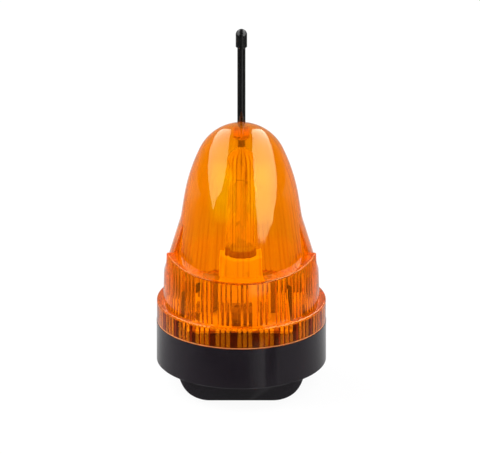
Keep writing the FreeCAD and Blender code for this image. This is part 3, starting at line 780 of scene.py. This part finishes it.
def sweep(shape, outlines, layers):
    """Faces between neighbouring outlines; gives each outline's vertices."""
    columns = []
    for outline in outlines:
        column = []
        for radius, height, angle, *rib in outline:
            vert = shape.verts.new((radius * math.sin(angle), -radius * math.cos(angle), height))
            for layer, value in zip(layers, rib):
                vert[layer] = value
            column.append(vert)
        columns.append(column)
    for left, right in zip(columns, columns[1:]):
        for i in range(len(left) - 1):
            shape.faces.new((left[i], left[i + 1], right[i + 1], right[i]))
    return columns


def end_wall(shape, first, second):
    """Closes the flat step between two runs of vertices that start and end in the same places."""
    shape.faces.new(first + second[-2:0:-1])


def outer_side(shape, layers):
    wall = LensWall(0.0)
    front_shares = [i / HORN_COLUMN for i in range(-HORN_COLUMN, HORN_COLUMN + 1)]
    rear_columns = COLUMNS - 2 * HORN_COLUMN
    front = sweep(shape, [outer_front(wall, share) for share in front_shares], layers)
    rear = sweep(shape, [outer_rear(wall, i / rear_columns) for i in range(rear_columns + 1)], layers)
    top = len(wall.dome) - 1
    foot = len(outer_foot(wall))
    rear_cross = top + WALL_STEPS
    front_cross = rear_cross + 1
    for first, second in ((front[-1], rear[0]), (front[0], rear[-1])):
        end_wall(shape, first[top:front_cross + 1], second[top:rear_cross + 1])
        end_wall(shape, first[front_cross:-foot], second[rear_cross:-foot])


def inner_side(shape, layers, settings):
    wall = LensWall(settings.wall / MM)
    near, far = FRONT_ROOM_COLUMN, REAR_ROOM_COLUMN
    spans = (
        ("front", -near, near),
        ("between", near, far),
        ("rear", far, COLUMNS - far),
        ("between", -far, -near),
    )
    sides = []
    for place, first, last in spans:
        outlines = [inner_outline(wall, place, i, settings) for i in range(first, last + 1)]
        sides.append(sweep(shape, outlines, layers))
    front, right, rear, left = sides
    top = len(wall.dome) - 1
    foot = len(inner_foot(wall))
    cross = top + WALL_STEPS + 1
    for first, second in ((front[-1], right[0]), (front[0], left[-1])):
        end_wall(shape, first[cross:-foot], second[cross:-foot])
    for first, second in ((right[-1], rear[0]), (left[0], rear[-1])):
        end_wall(shape, first[top:cross + 1], second[top:cross + 1])


def lens_floor(shape, layers, settings):
    """The flat underside of the flange."""
    inside = FLANGE_RADIUS - settings.wall / MM
    rib = (settings.collar_rib / MM, float(COLLAR_GROUPS), RIB_START)
    angles = [i * STEP for i in range(COLUMNS + 1)]
    sweep(shape, [((FLANGE_RADIUS, LENS_BOTTOM, a), (inside, LENS_BOTTOM, a, *rib)) for a in angles], layers)


def shows_painted_light(face):
    """True for the faces painted brighter as painted light: the ledge, the shelf, and the flange in front of
    each rib's crest.
    """
    face.normal_update()
    middle = face.calc_center_median()
    if abs(face.normal.z) > LEVEL and middle.z < GLOW_TOP:
        return True
    column = (math.atan2(middle.x, -middle.y) - RIB_START) / STEP % GROUP_COLUMNS - WINDOW_COLUMNS
    outside = min(math.hypot(v.co.x, v.co.y) for v in face.verts) > FLANGE_RADIUS - SLACK
    return outside and column > 0 and CREST[0] < column % RIB_COLUMNS < CREST[1]


def lens_shell(settings):
    """The lens's wall before its ribs, bosses and holes."""
    shape = bmesh.new()
    layers = [shape.verts.layers.float.new(name) for name in RIB_LAYERS]
    inner, rim, glow = (shape.faces.layers.int.new(name) for name in FACE_LAYERS)
    outer_side(shape, layers)
    for face in shape.faces:
        # Painted highlight: the faces of the lower edge band get the bright rim material.
        face[rim] = int(max(v.co.z for v in face.verts) < LENS_BOTTOM + RIM_LINE + SLACK)
        # Painted light: the ledge, the shelf and the rib crests get the brighter glow material.
        face[glow] = int(not face[rim] and shows_painted_light(face))
    outer_faces = len(shape.faces)
    inner_side(shape, layers, settings)
    for face in list(shape.faces)[outer_faces:]:
        face[inner] = 1
    lens_floor(shape, layers, settings)
    bmesh.ops.remove_doubles(shape, verts=shape.verts[:], dist=MERGE_DISTANCE)
    bmesh.ops.triangulate(shape, faces=[f for f in shape.faces if len(f.verts) > 4])
    bmesh.ops.recalc_face_normals(shape, faces=shape.faces[:])
    if shape.calc_volume(signed=True) < 0:
        bmesh.ops.reverse_faces(shape, faces=shape.faces[:])
    bmesh.ops.scale(shape, vec=(MM, MM, MM), verts=shape.verts[:])
    for vert in shape.verts:
        vert[layers[0]] *= MM
    return mesh_object("amber_lens", shape)


# Lens ribs


def new_node_tree(name, inputs):
    """A Geometry Nodes tree with a geometry in and out and named inputs; gives their identifiers."""
    tree = bpy.data.node_groups.new(name, "GeometryNodeTree")
    tree.is_modifier = True
    tree.interface.new_socket("Geometry", in_out="INPUT", socket_type="NodeSocketGeometry")
    tree.interface.new_socket("Geometry", in_out="OUTPUT", socket_type="NodeSocketGeometry")
    identifiers = {}
    for label, (kind, value) in inputs.items():
        socket = tree.interface.new_socket(label, in_out="INPUT", socket_type=kind)
        if value is not None:
            socket.default_value = value
        identifiers[label] = socket.identifier
    return tree, tree.nodes.new("NodeGroupInput"), tree.nodes.new("NodeGroupOutput"), identifiers


def add_tree(piece, tree, identifiers, values):
    modifier = piece.modifiers.new(tree.name, "NODES")
    modifier.node_group = tree
    for label, value in values.items():
        modifier[identifiers[label]] = value


def named_value(tree, name):
    node = tree.nodes.new("GeometryNodeInputNamedAttribute")
    node.data_type = "FLOAT"
    node.inputs["Name"].default_value = name
    return node.outputs["Attribute"]


def painted(tree, geometry, material, faces=None):
    """Gives a geometry a material, on all its faces or on the chosen ones."""
    paint = tree.nodes.new("GeometryNodeSetMaterial")
    tree.links.new(geometry, paint.inputs["Geometry"])
    tree.links.new(material, paint.inputs["Material"])
    if faces:
        tree.links.new(faces, paint.inputs["Selection"])
    return paint.outputs["Geometry"]


def rib_tree():
    """Moves the inner wall towards the axis in groups of round ribs with a flat window between groups."""
    tree, inside, outside, identifiers = new_node_tree("Lens ribs", {
        "Ribs per group": ("NodeSocketFloat", float(RIBS_PER_GROUP)),
        "Window share": ("NodeSocketFloat", WINDOW_SHARE),
        "Material": ("NodeSocketMaterial", None),
        "Inner material": ("NodeSocketMaterial", None),
        "Rim material": ("NodeSocketMaterial", None),
        "Glow material": ("NodeSocketMaterial", None),
    })
    place = split_point(tree, tree.nodes.new("GeometryNodeInputPosition").outputs["Position"])
    depth, groups, start = (named_value(tree, name) for name in RIB_LAYERS)
    wave = rib_wave(tree, front_angle(tree, place), groups, start,
                    inside.outputs["Window share"], inside.outputs["Ribs per group"])
    flat = tree.nodes.new("ShaderNodeCombineXYZ")
    tree.links.new(place["X"], flat.inputs["X"])
    tree.links.new(place["Y"], flat.inputs["Y"])
    outward = tree.nodes.new("ShaderNodeVectorMath")
    outward.operation = "NORMALIZE"
    tree.links.new(flat.outputs["Vector"], outward.inputs[0])
    offset = tree.nodes.new("ShaderNodeVectorMath")
    offset.operation = "SCALE"
    tree.links.new(outward.outputs["Vector"], offset.inputs[0])
    tree.links.new(times(tree, times(tree, wave, depth), -1.0), offset.inputs["Scale"])
    move = tree.nodes.new("GeometryNodeSetPosition")
    tree.links.new(inside.outputs["Geometry"], move.inputs["Geometry"])
    tree.links.new(offset.outputs["Vector"], move.inputs["Offset"])
    realize = tree.nodes.new("GeometryNodeRealizeInstances")
    tree.links.new(move.outputs["Geometry"], realize.inputs["Geometry"])
    geometry = painted(tree, realize.outputs["Geometry"], inside.outputs["Material"])
    for layer in FACE_LAYERS:
        material = inside.outputs[layer.title() + " material"]
        geometry = painted(tree, geometry, material, named_value(tree, layer))
    tree.links.new(geometry, outside.inputs["Geometry"])
    return tree, identifiers


# Lens bosses and holes


def add_post(shape, radius, low, high, x=0.0, y=0.0):
    """A round post, in millimetres."""
    place = Matrix.Translation((x * MM, y * MM, (low + high) / 2 * MM))
    bmesh.ops.create_cone(
        shape, cap_ends=True, segments=ROUND_SEGMENTS, radius1=radius * MM, radius2=radius * MM,
        depth=(high - low) * MM, matrix=place)


def crown_height(x, y, inset):
    """Height of the dome's round cap over a point, in metres."""
    radius = (CAP_RADIUS - inset) * MM
    return LENS_BOX[1].z - CAP_RADIUS * MM + math.sqrt(radius ** 2 - x ** 2 - y ** 2)


def lens_bosses():
    """Screw bosses with their webs, and the antenna's boss under the crown, sunk into the wall."""
    screws, crown = bmesh.new(), bmesh.new()
    for side in (-1, 1):
        add_post(screws, BOSS_RADIUS, LENS_BOTTOM, BOSS_TOP, side * LENS_SCREW_X)
        web = Matrix.Translation((side * WEB_X * MM, 0.0, (LEDGE + BOSS_TOP) / 2 * MM))
        size = Matrix.Diagonal((WEB_SIZE[0] * MM, WEB_SIZE[1] * MM, (BOSS_TOP - LEDGE) * MM, 1.0))
        bmesh.ops.create_cube(screws, size=1.0, matrix=web @ size)
    add_post(crown, CROWN_BOSS_RADIUS, CROWN_BOSS_BOTTOM, ABOVE_DOME, 0.0, ANTENNA_Y)
    for vert in crown.verts:
        if vert.co.z > LENS_BOX[1].z:
            vert.co.z = crown_height(vert.co.x, vert.co.y, CROWN_BOSS_SINK)
    bmesh.ops.triangulate(crown, faces=[f for f in crown.faces if len(f.verts) > 4])
    return mesh_object("bosses", screws), mesh_object("crown_boss", crown)


def lens_holes():
    """Cutters for the screw holes and the antenna's pin, and for the socket of its rod."""
    seat = crown_height(0.0, ANTENNA_Y * MM, 0.0) / MM
    holes, socket = bmesh.new(), bmesh.new()
    for side in (-1, 1):
        add_post(holes, SCREW_HOLE_RADIUS, LENS_BOTTOM - OVERSHOOT, SCREW_HOLE_TOP, side * LENS_SCREW_X)
    add_post(holes, PIN_HOLE_RADIUS, CROWN_BOSS_BOTTOM - OVERSHOOT, ABOVE_DOME, 0.0, ANTENNA_Y)
    add_post(socket, ROD_RADIUS, seat - SOCKET_DEPTH, ABOVE_DOME, 0.0, ANTENNA_Y)
    return mesh_object("holes", holes), mesh_object("socket", socket)


def paint_all(piece, materials, used):
    """Gives an object several slots and all its faces the same one."""
    for material in materials:
        piece.data.materials.append(material)
    for face in piece.data.polygons:
        face.material_index = materials.index(used)


def combine(piece, other, operation):
    modifier = piece.modifiers.new(operation.title(), "BOOLEAN")
    modifier.operation = operation
    modifier.solver = "MANIFOLD"
    modifier.object = other
    settle_modifiers(piece)
    bpy.data.objects.remove(other)


# Pieces


class SIGNAL_OT_lens(bpy.types.Operator):
    """Builds the amber lens with its ribs, bosses and holes"""

    bl_idname = "signal_light.lens"
    bl_label = "Lens"

    def execute(self, context):
        settings = context.scene.signal_lens
        tints = [tuple(t) for t in (settings.tint, settings.lit_spot_tint, settings.deep_tint, settings.gap_shade_tint)]
        dome_ribs = (settings.dome_groups, settings.dome_start)
        amber = amber_plastic("amber_plastic", tints, settings.clarity, dome_ribs)
        clear = even_amber("amber_inside", CLEAR, 1.0)
        # Painted highlight: the rim material makes the lens's lower edge a bright line.
        rim = even_amber("amber_rim_highlight", settings.rim_highlight_tint, RIM_CLARITY)
        # Painted light: the glow material makes the ledge, the shelf and the rib crests bright.
        glow = even_amber("amber_glow", settings.glow_tint, GLOW_CLARITY)
        # Painted light: the crown boss takes the bright tint of the painted light spots, so the dome's top
        # shows bright orange.
        crown = even_amber("amber_crown", settings.lit_spot_tint, GLOW_CLARITY)
        finishes = (amber, clear, rim, glow, crown)
        lens = lens_shell(settings)
        tree, identifiers = rib_tree()
        add_tree(lens, tree, identifiers, {
            "Ribs per group": float(RIBS_PER_GROUP),
            "Window share": WINDOW_SHARE,
            "Material": amber,
            "Inner material": clear,
            "Rim material": rim,
            "Glow material": glow,
        })
        settle_modifiers(lens)
        for boss, paint in zip(lens_bosses(), (clear, crown)):
            paint_all(boss, finishes, paint)
            combine(lens, boss, "UNION")
        for hole in lens_holes():
            paint_all(hole, finishes, clear)
            combine(lens, hole, "DIFFERENCE")
        for layer in RIB_LAYERS + FACE_LAYERS:
            lens.data.attributes.remove(lens.data.attributes[layer])
        lens.data.shade_smooth()
        lens.data.set_sharp_from_angle(angle=SMOOTH_ANGLE)
        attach(lens, "lens")
        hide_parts("lens")
        return {"FINISHED"}


class SIGNAL_OT_base(bpy.types.Operator):
    """Finishes the black base and foot, the rubber seals and the antenna's lead"""

    bl_idname = "signal_light.base"
    bl_label = "Base and foot"

    def execute(self, context):
        settings = context.scene.signal_body
        black = moulded("black_moulding", settings.black, rough=(0.10, 0.22), marks=0.15)
        dress(black, "base_housing", "mounting_foot")
        rubber = moulded("seal_rubber", settings.rubber, rough=(0.55, 0.75), grain=1500.0, depth=0.00004)
        dress(rubber, "cable_grommet", "lens_gasket", "antenna_lead")
        return {"FINISHED"}


class SIGNAL_OT_antenna(bpy.types.Operator):
    """Finishes the whip antenna with its tip, stud and washer"""

    bl_idname = "signal_light.antenna"
    bl_label = "Antenna"

    def execute(self, context):
        settings = context.scene.signal_body
        rod = moulded(
            "rod_coating", settings.rod, rough=(0.08, 0.16), grain=1200.0, marks=0.1, specular=0.4)
        dress(rod, "antenna_rod")
        tip = moulded(
            "tip_rubber", settings.rod, rough=(0.14, 0.24), grain=1800.0, depth=0.00003, specular=0.3)
        dress(tip, "antenna_tip")
        dress(moulded("stud_plastic", (0.12, 0.036, 0.016), rough=(0.35, 0.55)), "antenna_stud")
        dress(moulded("washer_fibre", (0.42, 0.26, 0.12), rough=(0.5, 0.7), marks=0.5), "antenna_washer")
        return {"FINISHED"}


class SIGNAL_OT_lamp(bpy.types.Operator):
    """Finishes the bulb, its holder and the fuse's glass"""

    bl_idname = "signal_light.lamp"
    bl_label = "Lamp"

    def execute(self, context):
        settings = context.scene.signal_body
        dress(moulded("holder_plastic", settings.holder, rough=(0.35, 0.55), lift=0.1), "lamp_holder")
        # Painted shade: the bulb's glass is darker along its flutes.
        fluted = lamp_glass(
            "fluted_glass", (0.98, 0.97, 0.92), weight=0.83, ior=THIN_GLASS_IOR,
            flute_shade_colour=(0.62, 0.38, 0.22))
        dress(fluted, "bulb_glass")
        dress(lamp_glass("clear_glass", (0.96, 0.97, 0.97), weight=0.97), "bulb_stem", "fuse_tube")
        # The bulb's collar is a real part. Its dark brown also stands in for the shadow ring at the bulb's
        # foot, as painted shade.
        dress(moulded("collar_plastic_and_shade", (0.27, 0.105, 0.05), rough=(0.4, 0.6)), "bulb_collar")
        dress(metal("cap_aluminium", (0.80, 0.80, 0.81), rough=(0.22, 0.38)), "bulb_cap")
        dress(metal("drawn_wire", (0.50, 0.48, 0.46), rough=(0.25, 0.4)), "bulb_supports", "bulb_filament")
        return {"FINISHED"}


class SIGNAL_OT_board(bpy.types.Operator):
    """Finishes the circuit board, its parts and the brass contacts"""

    bl_idname = "signal_light.board"
    bl_label = "Circuit board"

    def execute(self, context):
        settings = context.scene.signal_body
        dress(moulded("laminate", settings.laminate, rough=(0.4, 0.6), lift=0.12), "circuit_board")
        dark = moulded("part_plastic", (0.085, 0.07, 0.06), rough=(0.35, 0.55), grain=1600.0)
        dress(dark, "relay", "bridge_rectifier")
        terminal = moulded("terminal_plastic", (0.20, 0.14, 0.09), rough=(0.35, 0.55), grain=1600.0)
        dress(terminal, "terminal_block")
        sleeve = moulded("sleeve_plastic", (0.22, 0.15, 0.09), rough=(0.25, 0.4), grain=1600.0)
        dress(sleeve, "smoothing_capacitors")
        dress(moulded("film_plastic", (0.82, 0.58, 0.10), rough=(0.3, 0.45), lift=0.1), "film_capacitor")
        brass = metal("tinned_brass", (0.78, 0.68, 0.45), rough=(0.2, 0.36))
        dress(brass, "fuse_clips", "fuse_caps", "holder_sleeve", "holder_contact", "bulb_contact")
        dress(brass, "antenna_cup", "antenna_pin")
        return {"FINISHED"}


class SIGNAL_OT_screws(bpy.types.Operator):
    """Finishes the screws"""

    bl_idname = "signal_light.screws"
    bl_label = "Screws"

    def execute(self, context):
        zinc = metal("zinc_plate", (0.66, 0.66, 0.65), rough=(0.2, 0.36))
        dress(zinc, "foot_screws", "lens_screws", "board_screws", "holder_screws", "terminal_screws")
        return {"FINISHED"}


# Studio


def backdrop_light(tree, gloss):
    """Light of the backdrop, and the sockets of the light path.

    It is white for the camera and through glass, brighter where light inside the lens has been scattered,
    and has its own strength in gloss.
    """
    path = tree.nodes.new("ShaderNodeLightPath").outputs
    inside = scaled(tree, path["Diffuse Depth"], 0.0, 1.0, 1.0, INSIDE_GAIN)
    through = times(tree, path["Is Transmission Ray"], inside)
    return largest(tree, path["Is Camera Ray"], through, times(tree, path["Is Glossy Ray"], gloss)), path


def build_world(settings):
    world = bpy.data.worlds.new("Studio")
    world.use_nodes = True
    tree = world.node_tree
    tree.nodes.clear()
    output = tree.nodes.new("ShaderNodeOutputWorld")
    background = tree.nodes.new("ShaderNodeBackground")
    tree.links.new(background.outputs["Background"], output.inputs["Surface"])
    depth = split_point(tree, tree.nodes.new("ShaderNodeTexCoord").outputs["Generated"])["Y"]
    gloss = scaled(tree, depth, *ROOM_CHANGE, settings.room, settings.backdrop_gloss)
    light, path = backdrop_light(tree, gloss)
    soft = times(tree, path["Is Diffuse Ray"], scaled(tree, depth, *SOFT_CHANGE, *SOFT_LIGHT))
    tree.links.new(largest(tree, light, soft), background.inputs["Strength"])
    bpy.context.scene.world = world


def floor_gloss(tree, place, settings):
    """Light of the floor in gloss: beside the base, far behind it, and a window and a line in front of it."""
    across, depth = place["X"], place["Y"]
    beside = scaled(tree, depth, *BESIDE_DEPTH, settings.room, settings.backdrop_gloss)
    near = scaled(tree, math_node(tree, "ABSOLUTE", across), *BESIDE_WIDTH, *BESIDE_GAIN)
    behind = scaled(tree, depth, *BEHIND_DEPTH, 0.0, settings.backdrop_gloss)
    turn = math_node(tree, "ARCTAN2", across, math_node(tree, "SUBTRACT", WINDOW_Y, depth))
    rise = scaled(tree, turn, *STRIP_START, 0.0, STRIP_LIGHT)
    strip = times(tree, rise, scaled(tree, turn, *STRIP_END, 1.0, 0.0))
    side = scaled(tree, turn, *SIDE_START, 0.0, SIDE_LIGHT)
    square = math_node(tree, "MULTIPLY_ADD", across, across, math_node(tree, "POWER", depth, 2.0))
    reach = math_node(tree, "SQRT", square)
    panes = math_node(tree, "ADD", strip, side)
    window = times(tree, panes, scaled(tree, reach, *WINDOW_END, 1.0, 0.0))
    line = times(tree, bump_mask(tree, turn, *LINE_TURN), bump_mask(tree, reach, *LINE_REACH))
    return largest(tree, times(tree, beside, near), behind, window, times(tree, line, LINE_LIGHT))


def build_floor(settings):
    shape = bmesh.new()
    bmesh.ops.create_circle(shape, cap_ends=True, segments=ROUND_SEGMENTS, radius=FLOOR_RADIUS)
    floor = mesh_object("floor", shape)
    material, tree, output = new_material("floor_paper")
    paper = tree.nodes.new("ShaderNodeBsdfDiffuse")
    white = tree.nodes.new("ShaderNodeEmission")
    place = split_point(tree, object_point(tree))
    light, path = backdrop_light(tree, floor_gloss(tree, place, settings))
    tone = blend(tree, path["Is Glossy Ray"], PAPER, PAPER_IN_GLOSS)
    tree.links.new(tone, paper.inputs["Color"])
    share = times(tree, light, FLOOR_WHITE)
    mix_shaders(tree, share, paper.outputs["BSDF"], white.outputs["Emission"], output)
    floor.data.materials.append(material)


def light_panel(name, side, strength, outline):
    """A bright panel beside the object, seen only in gloss; its outline is in (Y, Z)."""
    shape = bmesh.new()
    corners = [shape.verts.new((side, y, z)) for y, z in outline]
    shape.faces.new(corners)
    panel = mesh_object(name, shape)
    material, tree, output = new_material(name)
    glow = tree.nodes.new("ShaderNodeEmission")
    glow.inputs["Strength"].default_value = strength
    tree.links.new(glow.outputs["Emission"], output.inputs["Surface"])
    panel.data.materials.append(material)
    panel.visible_camera = False
    panel.visible_diffuse = False
    panel.visible_transmission = False
    panel.visible_shadow = False


def soft_lamp(name, place, size, power):
    """A soft lamp that leaves no highlight."""
    data = bpy.data.lights.new(name, "AREA")
    data.size = size
    data.energy = power
    lamp = bpy.data.objects.new(name, data)
    lamp.location = place
    lamp.rotation_mode = "QUATERNION"
    lamp.rotation_quaternion = (lamp.location - LAMP_AIM).to_track_quat("Z", "Y")
    lamp.visible_glossy = False
    lamp.visible_transmission = False
    lamp.visible_camera = False
    bpy.context.scene.collection.objects.link(lamp)


def build_camera(settings):
    data = bpy.data.cameras.new("photo_camera")
    data.sensor_width = 36.0
    data.lens = settings.focal
    distance = settings.view_width * settings.focal / data.sensor_width
    camera = bpy.data.objects.new("photo_camera", data)
    rise = settings.elevation
    away = Vector((0.0, -math.cos(rise), math.sin(rise)))
    camera.location = Vector(settings.aim) + away * distance
    camera.rotation_mode = "QUATERNION"
    camera.rotation_quaternion = away.to_track_quat("Z", "Y")
    data.clip_start = 0.05
    data.clip_end = 50.0
    bpy.context.scene.collection.objects.link(camera)
    bpy.context.scene.camera = camera


class SIGNAL_OT_stage(bpy.types.Operator):
    """Sets the floor, light panels, soft lamps, room and camera"""

    bl_idname = "signal_light.stage"
    bl_label = "Stage"

    def execute(self, context):
        settings = context.scene.signal_stage
        context.scene.view_settings.view_transform = "Standard"
        context.scene.cycles.max_bounces = 28
        context.scene.cycles.transmission_bounces = 28
        context.scene.cycles.glossy_bounces = 14
        build_world(settings)
        build_floor(settings)
        light_panel("right_panel", PANEL_X, settings.right_light, RIGHT_PANEL)
        light_panel("left_panel", -PANEL_X, settings.left_light, LEFT_PANEL)
        soft_lamp("fill", FILL_PLACE, FILL_SIZE, settings.fill_light)
        x, y, z = SIDE_PLACE
        soft_lamp("left_lamp", (-x, y, z), SIDE_SIZE, settings.side_light[0])
        soft_lamp("right_lamp", (x, y, z), SIDE_SIZE, settings.side_light[1])
        build_camera(settings)
        return {"FINISHED"}


OPERATORS = (
    SIGNAL_OT_lens,
    SIGNAL_OT_base,
    SIGNAL_OT_antenna,
    SIGNAL_OT_lamp,
    SIGNAL_OT_board,
    SIGNAL_OT_screws,
    SIGNAL_OT_stage,
)


class SIGNAL_PT_panel(bpy.types.Panel):
    """Lists the steps that build the signal light"""

    bl_idname = "SIGNAL_PT_panel"
    bl_label = "Signal Light"
    bl_space_type = "VIEW_3D"
    bl_region_type = "UI"
    bl_category = "Signal Light"

    def draw(self, context):
        for settings in (context.scene.signal_lens, context.scene.signal_body, context.scene.signal_stage):
            box = self.layout.box()
            for name in settings.__annotations__:
                box.prop(settings, name)
        for operator in OPERATORS:
            self.layout.operator(operator.bl_idname)


CLASSES = (LensSettings, BodySettings, StageSettings, *OPERATORS, SIGNAL_PT_panel)


def register():
    for cls in CLASSES:
        bpy.utils.register_class(cls)
    bpy.types.Scene.signal_lens = bpy.props.PointerProperty(type=LensSettings)
    bpy.types.Scene.signal_body = bpy.props.PointerProperty(type=BodySettings)
    bpy.types.Scene.signal_stage = bpy.props.PointerProperty(type=StageSettings)


def unregister():
    del bpy.types.Scene.signal_lens
    del bpy.types.Scene.signal_body
    del bpy.types.Scene.signal_stage
    for cls in reversed(CLASSES):
        bpy.utils.unregister_class(cls)


def main():
    register()
    bpy.ops.signal_light.lens()
    bpy.ops.signal_light.base()
    bpy.ops.signal_light.antenna()
    bpy.ops.signal_light.lamp()
    bpy.ops.signal_light.board()
    bpy.ops.signal_light.screws()
    bpy.ops.signal_light.stage()


if __name__ == "__main__":
    main()
